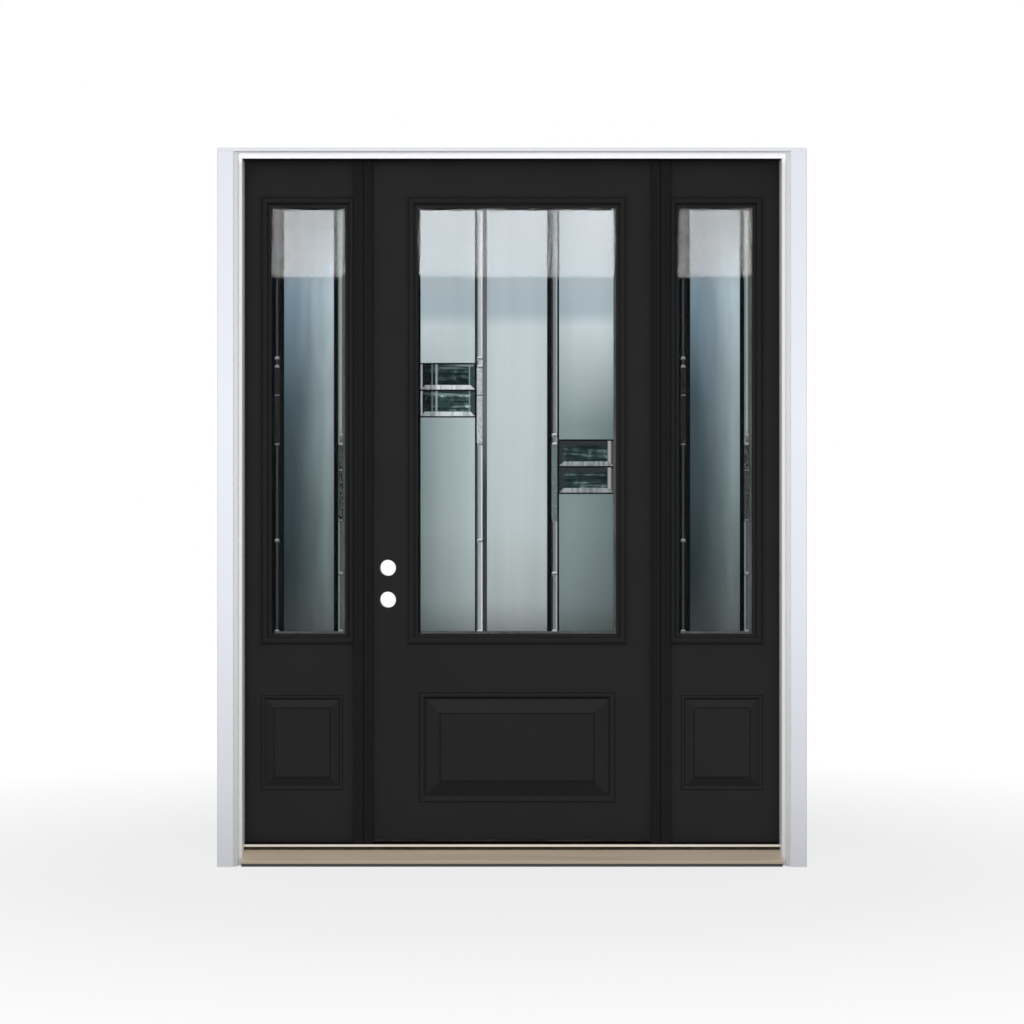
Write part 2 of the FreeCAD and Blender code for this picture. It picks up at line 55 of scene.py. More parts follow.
# Frame: the casing's narrow step beside the jamb, the foam strips beside the jambs, and the painted shadow lines
# at the sill
FRAME_HEIGHT = 2.1
STEP_FLAT = 0.8179
STEP_RETURN = 0.8282
STEP_TOP = 2.1024
JAMB_FOAM_SIDE = 0.79
JAMB_FOAM_TOP = 2.083
FOOT_SHADOW_TOP = 0.0605
CAP_SHADOW_FROM = -0.0125

# Raised panels: the leaf's middle plane, the floor of the quirks on both sides of it, and the paint's painted
# light and shade there
LEAF_MIDDLE = 0.03575
QUIRK_FLOOR = 0.01955
QUIRK_REACH = 0.0005
LIT_SLOPE_SHARE = 1.28
SHADED_SHARE = 0.5
QUIRK_SHARE = 0.3

# Lites: where the glass tones, painted reflections, begin and end
LITE_HEIGHTS = (0.68, 1.95)
LEAF_LITE_WIDTH = (-0.28, 0.31)
SIDELIGHT_ORIGIN = -0.75
SIDELIGHT_SHIFT = 1.21315
SIDELIGHT_MIDDLE = 0.13
SIDELIGHT_WIDTH = (0.076, 0.194)

# Leaded layer
CAME_DEPTH = 0.007
CAME_ROUND = 0.0017
BORDER_WIDTH = 0.011
TONGUE_WIDTH = 0.009
TONGUE_DEPTH = 0.004
TONGUE_ROUND = 0.0004
THICK_BAR = -0.0815
STRIP_LIMIT = 0.03
STRIP_FACET = 0.005
STRIP_RISE = 0.0014
GLASS_CHAMFER = 0.0007
SOLDER_RADIUS = 0.0019
SOLDER_RISE = 0.0008
SOLDER_SINK = 0.0003

# Bevelled glass: the left pair's box, and the painted reflections of the ground edges as thin upright lines
# (place, reach, tone)
LEFT_BEVEL_HEIGHTS = (1.329, 1.484)
LEFT_BEVEL_WIDTH = (-0.2733, -0.1105)
BEVEL_LINES = (
    (-0.2703, 0.0036, (0.34, 0.38, 0.39)),
    (-0.2385, 0.0026, (0.10, 0.122, 0.126)),
    (-0.2255, 0.0038, (0.24, 0.28, 0.28)),
    (-0.1272, 0.0024, (0.16, 0.23, 0.23)),
    (0.2911, 0.0065, (0.33, 0.31, 0.312)),
)

# Hinge screws: their place on the plate, and the parts of a head as shares of its radius
HINGE_GAP = 0.005
HINGE_SCREW_RADIUS = 0.0042
HINGE_SCREW_ROWS = (0.014, 0.038, 0.062, 0.086)
HINGE_SCREW_INSETS = (0.026, 0.011)
HEAD_TOP = 0.86
HEAD_DEPTH = 0.16
RECESS_LENGTH = 1.1
RECESS_WIDTH = 0.24
RECESS_DEPTH = 0.06
RECESS_LIFT = 0.15

# Plugs over the screws of the lite frames
PLUG_RADIUS = 0.0052
PLUG_RISE = 0.0007
PLUG_SINK = 0.0001
PLUG_INSET = 0.0195
PLUG_SPACING = 0.21

# Studio: half the floor's width, and how its white takes over with the distance from the door
FLOOR_HALF = 30
FLOOR_FADE = (1.2, 3.0, 0.76, 1.0)
SKY_STRENGTH = 0.5


class Finish:
    """One finish, built on its own principled shader from Object coordinates."""

    def __init__(self, name, **values):
        self.material = bpy.data.materials.new(name)
        self.material.use_nodes = True
        self.tree = self.material.node_tree
        self.shader = self.tree.nodes["Principled BSDF"]
        self.coordinates = self.add("ShaderNodeTexCoord")
        self.place = self.coordinates.outputs["Object"]
        for socket, value in values.items():
            self.shader.inputs[socket.replace("_", " ")].default_value = value

    def add(self, kind, **settings):
        node = self.tree.nodes.new(kind)
        for key, value in settings.items():
            setattr(node, key, value)
        return node

    def join(self, source, target):
        self.tree.links.new(source, target)

    def give(self, socket, value):
        """A link, a number or a colour for one input."""
        if isinstance(value, bpy.types.NodeSocket):
            self.join(value, socket)
        else:
            socket.default_value = value if isinstance(value, float) else (*value, 1)

    def stretched(self, scale):
        """Object coordinates, drawn out along the axes with small numbers."""
        node = self.add("ShaderNodeMapping")
        self.join(self.place, node.inputs["Vector"])
        node.inputs["Scale"].default_value = scale
        return node.outputs["Vector"]

    def noise(self, scale, detail=3.0, stretch=(1, 1, 1)):
        node = self.add("ShaderNodeTexNoise")
        self.join(self.stretched(stretch), node.inputs["Vector"])
        node.inputs["Scale"].default_value = scale
        node.inputs["Detail"].default_value = detail
        return node.outputs["Fac"]

    def grains(self, scale):
        node = self.add("ShaderNodeTexVoronoi")
        self.join(self.place, node.inputs["Vector"])
        node.inputs["Scale"].default_value = scale
        return node.outputs["Distance"]

    def axis(self, letter):
        node = self.add("ShaderNodeSeparateXYZ")
        self.join(self.place, node.inputs[0])
        return node.outputs[letter]

    def reckon(self, operation, a, b=0.0):
        node = self.add("ShaderNodeMath", operation=operation)
        self.give(node.inputs[0], a)
        self.give(node.inputs[1], b)
        return node.outputs[0]

    def under(self, value, limit):
        return self.reckon("LESS_THAN", value, limit)

    def over(self, value, limit):
        return self.reckon("GREATER_THAN", value, limit)

    def both(self, a, b):
        return self.reckon("MULTIPLY", a, b)

    def off(self, value, place):
        """How far a value lies from a place."""
        return self.reckon("ABSOLUTE", self.reckon("SUBTRACT", value, place))

    def spread(self, value, low, high, to_low=0.0, to_high=1.0):
        """A value taken from one range to another, held at the ends."""
        node = self.add("ShaderNodeMapRange")
        self.give(node.inputs["Value"], value)
        for name, number in zip(("From Min", "From Max", "To Min", "To Max"), (low, high, to_low, to_high)):
            node.inputs[name].default_value = number
        return node.outputs["Result"]

    def facet(self, letter, sign, low=0.05, high=0.11):
        """One where a face is turned along an axis of the object by more than a share."""
        node = self.add("ShaderNodeSeparateXYZ")
        self.join(self.coordinates.outputs["Normal"], node.inputs[0])
        return self.spread(self.reckon("MULTIPLY", node.outputs[letter], sign), low, high)

    def facets(self):
        """The facets that face left, right and down."""
        return self.facet("X", -1.0), self.facet("X", 1.0), self.facet("Z", -1.0)

    def square_to(self, letter, low=0.7, high=0.9):
        """One on faces turned straight along an axis, either way."""
        return self.reckon("MAXIMUM", self.facet(letter, -1.0, low, high), self.facet(letter, 1.0, low, high))

    def upright_line(self, place, reach):
        """One on a thin upright line at a distance across the object."""
        return self.spread(self.off(self.axis("X"), place), reach * 0.5, reach, 1.0, 0.0)

    def along_sidelight(self):
        """The distance across a sidelight, the same in both."""
        return self.reckon("MODULO", self.reckon("SUBTRACT", self.axis("X"), SIDELIGHT_ORIGIN), SIDELIGHT_SHIFT)

    def right_half(self, sidelight=False):
        """One in the right half of the leaf, or of each sidelight."""
        if sidelight:
            return self.over(self.along_sidelight(), SIDELIGHT_MIDDLE)
        return self.over(self.axis("X"), 0.0)

    def ramp(self, value, stops):
        """Colours along a value from 0 to 1."""
        node = self.add("ShaderNodeValToRGB")
        self.give(node.inputs["Fac"], value)
        band = node.color_ramp.elements
        while len(band) < len(stops):
            band.new(0.5)
        for element, (place, colour) in zip(band, stops):
            element.position = place
            element.color = (*colour, 1)
        return node.outputs["Color"]

    def blend(self, kind, share, a, b):
        node = self.add("ShaderNodeMix", data_type="RGBA", blend_type=kind)
        for socket, value in zip((0, 6, 7), (share, a, b)):
            self.give(node.inputs[socket], value)
        return node.outputs[2]

    def mix(self, share, a, b):
        return self.blend("MIX", share, a, b)

    def times(self, a, b):
        return self.blend("MULTIPLY", 1.0, a, b)

    def between(self, value, reach, a, b):
        """Two colours, the second taking over as a value runs through a range."""
        return self.mix(self.spread(value, *reach), a, b)

    def colour(self, source):
        self.join(source, self.shader.inputs["Base Color"])

    def rough(self, value, low, high):
        self.join(self.spread(value, 0.3, 0.7, low, high), self.shader.inputs["Roughness"])

    def bump(self, height, depth, strength=1.0):
        node = self.add("ShaderNodeBump")
        self.join(height, node.inputs["Height"])
        node.inputs["Distance"].default_value = depth
        node.inputs["Strength"].default_value = strength
        self.join(node.outputs["Normal"], self.shader.inputs["Normal"])


def white_paint(name, tones, cast):
    """White paint in tones from the foot to the head, painted shade of the light falling off: darker towards the
    ground.
    """
    f = Finish(name, Specular_IOR_Level=0.4)
    cloud = f.noise(3.0, 4.0, (1, 1, 0.25))
    # Painted shade: the tones darken towards the ground, where the light falls off.
    shaded_tones = f.ramp(f.spread(f.axis("Z"), 0.0, FRAME_HEIGHT), [
        (place, [tone * share for share in cast]) for place, tone in tones])
    peel = f.noise(420.0, 2.0)
    f.rough(peel, 0.36, 0.48)
    f.bump(peel, 0.0002, 0.25)
    return f, f.between(cloud, (0.35, 0.7, 0.0, 0.10), shaded_tones, [0.73 * share for share in cast])


def white_casing():
    """Cool white casing, with painted shade on the narrow step beside the jamb and a painted highlight on the
    step's return.
    """
    f, paint = white_paint(
        "white_casing", ((0.0, 0.52), (0.12, 0.63), (0.36, 0.735), (0.62, 0.775), (1.0, 0.705)),
        (1.0, 1.016, 1.066))
    across = f.off(f.axis("X"), 0.0)
    shaded_step = f.both(f.under(across, STEP_FLAT), f.under(f.axis("Z"), STEP_TOP))
    turned = f.both(f.square_to("X"), f.under(across, STEP_RETURN))
    # Painted shade on the narrow step, and a painted highlight on the step's return, the faces turned sideways.
    paint = f.mix(shaded_step, paint, f.times(paint, (0.82, 0.8, 0.77)))
    f.colour(f.mix(turned, paint, (0.95, 0.95, 0.97)))
    return f.material


def white_jamb():
    """Warmer white of the jambs, with painted light on the reveals inside the opening and on the face of the
    head; the head's underside is painted near-black, a painted shade.
    """
    # The last tone, at the head, is much lighter: painted light on the face of the head under the casing.
    f, paint = white_paint(
        "white_jamb", ((0.0, 0.536), (0.12, 0.652), (0.36, 0.705), (0.62, 0.715), (0.985, 0.71), (0.992, 0.905)),
        (1.0, 0.985, 0.985))
    # Painted light on the reveals, the faces turned sideways.
    paint = f.mix(f.square_to("X"), paint, (0.95, 0.94, 0.93))
    # Painted shade: the head's underside is near-black.
    f.colour(f.mix(f.facet("Z", -1.0, 0.7, 0.9), paint, (0.006, 0.006, 0.0063)))
    return f.material


def black_paint(name, value, specular):
    """Satin black factory paint with a fine orange peel.

    It is lighter on slopes that face up and darker on slopes that face down, painted light and shade; darker in
    the quirks of the raised panels, painted shade;
    and near-black at its foot against the sill, a painted shadow line."""
    f = Finish(name, Specular_IOR_Level=specular)
    cloud = f.noise(2.2, 5.0, (1, 1, 0.4))
    thin, thick = ([tone, tone, tone * 1.03] for tone in (value * 0.86, value * 1.14))
    paint = f.between(cloud, (0.3, 0.7), thin, thick)
    # Painted light and shade: slopes facing up lighter, slopes facing down darker.
    for sign, share in ((1.0, LIT_SLOPE_SHARE), (-1.0, SHADED_SHARE)):
        paint = f.mix(f.facet("Z", sign, 0.1, 0.18), paint, [value * share] * 3)
    depth = f.off(f.axis("Y"), LEAF_MIDDLE)
    # Painted shade in the quirks of the raised panels.
    quirk = f.both(f.under(f.off(depth, QUIRK_FLOOR), QUIRK_REACH), f.square_to("Y", 0.984, 0.992))
    paint = f.mix(quirk, paint, [value * QUIRK_SHARE] * 3)
    # A near-black painted shadow line along the foot, against the sill.
    f.colour(f.mix(f.under(f.axis("Z"), FOOT_SHADOW_TOP), paint, (0.0015, 0.0015, 0.0015)))
    f.rough(f.noise(6.0, 6.0), 0.38, 0.5)
    f.bump(f.noise(620.0, 2.0), 0.00025, 0.3)
    return f.material


def clear_pane():
    """Float glass with a faint green cast."""
    f = Finish("clear_pane", Roughness=0.0, IOR=1.45, Transmission_Weight=1.0, Alpha=0.06)
    f.colour(f.between(f.noise(1.4, 2.0), (0.3, 0.7), (0.93, 0.965, 0.96), (0.955, 0.98, 0.975)))
    return f.material


def leaf_glass():
    """Pale rippled glass of the leaf, its tones painted reflections: lightest in its middle column, deeper at the
    right and at the foot, with upright streaks partly of the drawn glass and partly painted reflection.
    """
    f = Finish("leaf_glass", Roughness=0.3, Specular_IOR_Level=0.08, Transmission_Weight=0.45)
    # Painted reflections: tones up the lite and across it.
    tone = f.ramp(f.spread(f.axis("Z"), *LITE_HEIGHTS), [
        (0.0, (0.23, 0.253, 0.258)),
        (0.08, (0.44, 0.49, 0.495)),
        (0.25, (0.56, 0.63, 0.637)),
        (0.72, (0.605, 0.685, 0.705)),
        (0.755, (0.415, 0.505, 0.545)),
        (1.0, (0.495, 0.545, 0.57)),
    ])
    low = f.ramp(f.spread(f.axis("X"), *LEAF_LITE_WIDTH), [
        (0.0, (0.33, 0.39, 0.395)),
        (0.28, (0.86, 0.9, 0.89)),
        (0.34, (0.97, 0.97, 0.97)),
        (0.64, (0.97, 0.97, 0.97)),
        (0.7, (0.42, 0.49, 0.49)),
        (1.0, (0.24, 0.295, 0.296)),
    ])
    across = f.between(f.axis("Z"), (1.3, 1.6), low, (0.96, 0.97, 0.97))
    streak = f.noise(9.0, 3.0, (1, 1, 0.06))
    streaks_and_reflections = f.ramp(streak, [(0.32, (0.9, 0.91, 0.91)), (0.68, (1.08, 1.07, 1.07))])
    f.colour(f.times(f.times(tone, streaks_and_reflections), across))
    f.bump(f.noise(160.0, 2.0, (1, 1, 0.5)), 0.0006, 0.25)
    return f.material


def sidelight_glass():
    """Smoky rippled glass of the sidelights, with painted reflections: lighter towards the right and the top of
    each lite.
    """
    f = Finish("sidelight_glass", Roughness=0.3, Specular_IOR_Level=0.08, Transmission_Weight=0.1)
    height = f.spread(f.axis("Z"), *LITE_HEIGHTS)
    # Painted reflections: tones up each lite, at its left and at its right.
    left = f.ramp(height, [
        (0.0, (0.031, 0.038, 0.039)),
        (0.15, (0.012, 0.023, 0.028)),
        (0.55, (0.038, 0.065, 0.081)),
        (0.8, (0.155, 0.226, 0.278)),
        (0.88, (0.25, 0.275, 0.287)),
    ])
    right = f.ramp(height, [
        (0.0, (0.083, 0.098, 0.10)),
        (0.3, (0.153, 0.203, 0.208)),
        (0.56, (0.27, 0.342, 0.36)),
        (0.8, (0.40, 0.48, 0.525)),
        (1.0, (0.235, 0.265, 0.277)),
    ])
    tone = f.mix(f.reckon("POWER", f.spread(f.along_sidelight(), *SIDELIGHT_WIDTH), 1.8), left, right)
    streak = f.noise(26.0, 3.0, (1, 1, 0.12))
    f.colour(f.times(tone, f.ramp(streak, [(0.3, (0.78, 0.78, 0.78)), (0.7, (1.06, 1.06, 1.06))])))
    f.bump(f.noise(60.0, 3.0, (1, 1, 0.15)), 0.0012, 0.35)
    return f.material


def strip_glass():
    """Bevelled narrow strips of the leaf, their tones painted reflections: darker on the facet facing left,
    bright on those facing right and down.

    The strip in the right half is deeper in tone throughout."""
    f = Finish("strip_glass", Roughness=0.1, Specular_IOR_Level=0.12, Transmission_Weight=0.3)
    # Painted reflections on the facets, by height and by half.
    left, right, down = f.facets()
    streak = f.noise(60.0, 2.0, (1, 1, 0.05))
    upper = f.between(streak, (0.35, 0.65), (0.36, 0.40, 0.42), (0.50, 0.53, 0.55))
    lower = f.between(streak, (0.35, 0.65), (0.27, 0.31, 0.32), (0.42, 0.455, 0.465))
    hand = f.right_half()
    body = f.between(f.axis("Z"), (1.22, 1.3), lower, upper)
    body = f.mix(hand, body, (0.17, 0.20, 0.205))
    body = f.mix(left, body, f.mix(hand, (0.13, 0.155, 0.165), (0.022, 0.028, 0.03)))
    body = f.mix(right, body, f.mix(hand, (0.70, 0.73, 0.75), (0.38, 0.42, 0.425)))
    f.colour(f.mix(down, body, (0.74, 0.77, 0.78)))
    return f.material


def smoky_strip():
    """The same strips in the sidelights, smoky, with painted reflections: nearly black at the left and paler at
    the upper right.
    """
    f = Finish("smoky_strip", Roughness=0.1, Specular_IOR_Level=0.06, Transmission_Weight=0.03)
    left, right, down = f.facets()
    hand = f.right_half(sidelight=True)
    # Painted reflections: by half, by height and on the facets.
    pale = f.between(f.axis("Z"), (1.25, 1.29), (0.06, 0.068, 0.067), (0.27, 0.32, 0.31))
    body = f.mix(hand, (0.034, 0.041, 0.043), pale)
    body = f.mix(left, body, f.mix(hand, (0.003, 0.0035, 0.004), (0.16, 0.19, 0.185)))
    body = f.mix(right, body, f.mix(hand, (0.003, 0.0035, 0.004), (0.10, 0.115, 0.112)))
    f.colour(f.mix(down, body, (0.30, 0.32, 0.32)))
    return f.material


def granite_glass(name, crest, hollow, right, sidelight=False):
    """Hammered, grainy glass of the short strip pieces: bright grains, darker hollows.

    The tone in the right half, that of the left times another colour, is a painted reflection."""
    f = Finish(name, Roughness=0.4, Specular_IOR_Level=0.06, Transmission_Weight=0.02)
    grain = f.grains(330.0)
    tone = f.between(grain, (0.2, 0.6), crest, hollow)
    # Painted reflection: the right half's tone.
    f.colour(f.times(tone, f.mix(f.right_half(sidelight), (1, 1, 1), right)))
    f.bump(grain, 0.001, 0.7)
    return f.material


def bevel_glass():
    """Thick bevelled glass, dark green-blue, its tones painted reflections: streaked in its depth, in lighter and
    darker rows on the left pair, with painted highlights along the facets that face down and a painted shade over
    part of the left pair.

    The left pair shows painted reflections of its ground edges a second time as thin upright lines, the right
    pair only at its right."""
    f = Finish("bevel_glass", Roughness=0.06, IOR=1.5, Specular_IOR_Level=0.04, Transmission_Weight=0.02)
    left, right, down = f.facets()
    hand = f.right_half()
    level = f.noise(30.0, 3.0, (0.2, 1, 3.2))
    upright = f.noise(34.0, 3.0, (3.0, 1, 0.25))
    cloud = f.noise(55.0, 4.0)
    # Painted reflections: streaks in the depth of the glass.
    depth = f.ramp(f.spread(f.reckon("ADD", level, f.reckon("MULTIPLY", cloud, 0.6)), 0.62, 1.06), [
        (0.0, (0.004, 0.009, 0.011)),
        (0.5, (0.017, 0.033, 0.035)),
        (0.78, (0.085, 0.13, 0.13)),
        (1.0, (0.30, 0.36, 0.36)),
    ])
    # Painted light and shade: lighter and darker rows across the left pair.
    lit_and_shaded_rows = f.ramp(f.spread(f.axis("Z"), *LEFT_BEVEL_HEIGHTS), [
        (0.50, (1.5, 1.5, 1.5)), (0.51, (0.15, 0.22, 0.3)), (0.8, (0.8, 0.85, 0.9)), (1.0, (1.7, 1.7, 1.7))])
    depth = f.mix(hand, f.times(depth, lit_and_shaded_rows), depth)
    # Painted reflections on the facets facing up, left and right.
    top = f.between(level, (0.46, 0.56), (0.014, 0.028, 0.033), (0.15, 0.20, 0.20))
    flank = f.between(upright, (0.5, 0.6), (0.018, 0.03, 0.034), (0.30, 0.36, 0.36))
    tone = f.mix(f.facet("Z", 1.0), depth, f.mix(hand, top, (0.022, 0.026, 0.027)))
    tone = f.mix(left, tone, f.mix(hand, flank, (0.02, 0.028, 0.03)))
    tone = f.mix(right, tone, f.mix(hand, (0.03, 0.05, 0.053), (0.07, 0.065, 0.066)))
    # Painted shade over part of the left pair.
    shaded = f.ramp(f.spread(f.axis("X"), *LEFT_BEVEL_WIDTH), [
        (0.03, (1.0, 1.0, 1.0)), (0.05, (0.2, 0.2, 0.2)), (0.17, (0.22, 0.2, 0.2)), (0.24, (1.0, 1.0, 1.0))])
    tone = f.times(tone, f.mix(hand, shaded, (1, 1, 1)))
    # Painted reflections of the ground edges, as thin upright lines.
    for place, reach, line in BEVEL_LINES:
        tone = f.mix(f.upright_line(place, reach), tone, line)
    # Painted highlights along the facets that face down.
    bright = f.between(upright, (0.36, 0.62), (0.33, 0.37, 0.385), (0.66, 0.70, 0.71))
    along = f.ramp(f.spread(f.axis("X"), *LEAF_LITE_WIDTH), [
        (0.07, (0.5, 0.5, 0.5)), (0.1, (1.0, 1.0, 1.0)), (0.5, (1.0, 1.0, 1.0)), (0.6, (0.48, 0.5, 0.5))])
    f.colour(f.mix(down, tone, f.times(bright, along)))
    return f.material


def came_patina():
    """Zinc came with a dark patina, lighter grey on the thick bar at the left of the leaf, darker towards its
    foot.
    """
    f = Finish("came_patina", Metallic=0.2, Specular_IOR_Level=0.015)
    worn = f.noise(24.0, 3.0, (1, 1, 0.08))
    dark = f.between(worn, (0.35, 0.7), (0.0015, 0.002, 0.0025), (0.004, 0.005, 0.006))
    # The thick bar at the left of the leaf is lighter grey, darker below about 1.2 m.
    greyer_bar = f.between(worn, (0.35, 0.7), (0.085, 0.09, 0.10), (0.13, 0.135, 0.15))
    greyer_bar = f.between(f.axis("Z"), (1.1, 1.3), (0.03, 0.036, 0.039), greyer_bar)
    f.colour(f.between(f.off(f.axis("X"), THICK_BAR), (0.006, 0.008), greyer_bar, dark))
    f.rough(worn, 0.4, 0.55)
    f.bump(f.noise(240.0, 2.0, (1, 1, 0.2)), 0.0001, 0.2)
    return f.material


def foam_seal():
    """Foam weather strip: dark grey at the side jambs, black against the painted stops and the head."""
    f = Finish("foam_seal", Specular_IOR_Level=0.2)
    cells = f.noise(900.0, 2.0)
    grey = f.between(cells, (0.3, 0.7), (0.035, 0.035, 0.036), (0.06, 0.06, 0.061))
    black = f.between(cells, (0.3, 0.7), (0.010, 0.010, 0.011), (0.02, 0.02, 0.021))
    beside_jamb = f.both(f.over(f.off(f.axis("X"), 0.0), JAMB_FOAM_SIDE), f.under(f.axis("Z"), JAMB_FOAM_TOP))
    f.colour(f.mix(beside_jamb, black, grey))
    f.rough(cells, 0.7, 0.9)
    f.bump(cells, 0.0006, 0.5)
    return f.material


def brushed_sill():
    """Tan anodised sill plate, brushed along its length, with painted shade on its turned-down nose."""
    f = Finish("brushed_sill", Metallic=0.25, Specular_IOR_Level=0.4)
    lines = f.noise(240.0, 4.0, (0.012, 1, 1))
    patch = f.noise(5.0, 4.0, (0.4, 1, 1))
    tan = f.between(lines, (0.3, 0.7), (0.59, 0.482, 0.365), (0.76, 0.625, 0.478))
    plate = f.between(patch, (0.45, 0.75, 0.0, 0.35), tan, (0.56, 0.485, 0.39))
    # Painted shade on the nose, the face turned to the front.
    f.colour(f.mix(f.facet("Y", -1.0, 0.7, 0.9), plate, (0.37, 0.305, 0.235)))
    f.rough(lines, 0.34, 0.5)
    f.bump(lines, 0.0004, 0.35)
    return f.material


def beige_cap():
    """Beige threshold cap with faint scuffs along its nose, and a dark painted shadow on top under the leaf."""
    f = Finish("beige_cap", Specular_IOR_Level=0.0)
    scuff = f.noise(30.0, 5.0, (0.08, 1, 1))
    beige = f.between(scuff, (0.4, 0.75), (0.74, 0.67, 0.575), (0.62, 0.55, 0.465))
    # Painted shadow: the cap's top is near-black under the leaf.
    f.colour(f.mix(f.over(f.axis("Y"), CAP_SHADOW_FROM), beige, (0.012, 0.012, 0.011)))
    f.rough(scuff, 0.36, 0.5)
    f.bump(f.noise(500.0, 2.0, (0.3, 1, 1)), 0.0003, 0.3)
    return f.material


def mottled(name, pattern, reach, tones, rough, bump=None, **values):
    """A finish in two tones that follow one noise, which also roughens it and can dent it."""
    f = Finish(name, **values)
    grain = f.noise(*pattern)
    f.colour(f.between(grain, reach, *tones))
    f.rough(grain, *rough)
    if bump:
        f.bump(grain, *bump)
    return f.material


finishes = {
    "casing": white_casing(),
    "jamb": white_jamb(),
    "leaf": black_paint("leaf_paint", 0.0094, 0.15),
    # The mullions take the leaf's black paint in a darker copy: painted shade.
    "mullion": black_paint("shaded_mullion_paint", 0.0053, 0.105),
    "trim": black_paint("trim_paint", 0.0082, 0.14),
    "pane": clear_pane(),
    "leaf_glass": leaf_glass(),
    "sidelight_glass": sidelight_glass(),
    "strip": strip_glass(),
    "smoky_strip": smoky_strip(),
    "granite": granite_glass(
        "granite_glass", (0.64, 0.665, 0.69), (0.30, 0.32, 0.345), (0.28, 0.36, 0.335)),
    "smoky_granite": granite_glass(
        "smoky_granite", (0.04, 0.043, 0.044), (0.001, 0.001, 0.001), (3.6, 3.9, 3.8), sidelight=True),
    "bevel": bevel_glass(),
    "came": came_patina(),
    "seal": foam_seal(),
    "sill": brushed_sill(),
    "cap": beige_cap(),
    # Zinc border came along the right and the foot, a lighter copy of the came finish: painted light
    "border": mottled(
        "lit_border_zinc", (30.0, 3.0, (1, 1, 0.3)), (0.35, 0.7), ((0.05, 0.052, 0.053), (0.11, 0.112, 0.113)),
        (0.4, 0.55), (0.0002, 0.2), Metallic=0.2, Specular_IOR_Level=0.2),
    # Tinned bars between the pieces of a strip
    "solder": mottled(
        "solder", (260.0,), (0.3, 0.7), ((0.10, 0.105, 0.11), (0.26, 0.265, 0.27)),
        (0.3, 0.45), (0.0004, 0.3), Metallic=0.5, Specular_IOR_Level=0.3),
    # Satin aluminium spacer, brushed upright
    "spacer": mottled(
        "spacer_bar", (90.0, 3.0, (1, 1, 0.04)), (0.3, 0.7), ((0.24, 0.25, 0.26), (0.38, 0.39, 0.40)),
        (0.36, 0.52), (0.0003, 0.3), Metallic=0.7),
    # Dark flecked composite core of the sill
    "core": mottled(
        "dark_composite", (240.0, 4.0), (0.35, 0.7), ((0.035, 0.04, 0.035), (0.075, 0.08, 0.068)),
        (0.55, 0.75), (0.0006, 0.5), Specular_IOR_Level=0.25),
    # Matt black rubber of the gasket and sweep, a little dusty
    "rubber": mottled(
        "black_rubber", (120.0, 4.0, (0.2, 1, 1)), (0.4, 0.75), ((0.018, 0.017, 0.014), (0.05, 0.046, 0.038)),
        (0.6, 0.8), (0.0004, 0.4), Specular_IOR_Level=0.05),
    # Satin steel, brushed along the height of the hinge
    "hinge": mottled(
        "hinge_steel", (520.0, 3.0, (1, 1, 0.02)), (0.3, 0.7), ((0.48, 0.48, 0.47), (0.62, 0.62, 0.61)),
        (0.26, 0.4), (0.0002, 0.3), Metallic=1.0),
    # Painted shade at the bottom of a cross recess
    "recess": mottled(
        "screw_recess_shade", (700.0,), (0.3, 0.7), ((0.02, 0.02, 0.02), (0.07, 0.07, 0.07)),
        (0.5, 0.7), Metallic=0.6),
}

GLAZED = ("door", "left_sidelight", "right_sidelight")
NODE_FINISHES = {
    "casing": ["left_casing", "right_casing", "head_casing"],
    "jamb": ["left_jamb", "right_jamb", "head_jamb"],
    "mullion": ["left_mullion", "right_mullion"],
    "leaf": ["door_slab", "left_sidelight_panel", "right_sidelight_panel"],
    "trim": [unit + half for unit in GLAZED for half in ("_outer_trim", "_inner_trim")],
    "pane": [unit + "_panes" for unit in GLAZED],
    "spacer": [unit + "_spacer" for unit in GLAZED],
    "leaf_glass": ["door_decor_glass"],
    "sidelight_glass": ["left_sidelight_decor_glass", "right_sidelight_decor_glass"],
    "bevel": ["door_bevels"],
    "came": [unit + "_cames" for unit in GLAZED],
    "seal": [unit + "_seal" for unit in GLAZED],
    "sill": ["sill_deck"],
    "cap": ["threshold_cap"],
    "core": ["sill_base"],
    "rubber": ["threshold_gasket", "door_sweep"],
    "hinge": ["frame_hinge_leaves", "door_hinge_leaves", "hinge_pins"],
}
for finish, names in NODE_FINISHES.items():
    for name in names:
        cad[name].data.materials.clear()
        cad[name].data.materials.append(finishes[finish])


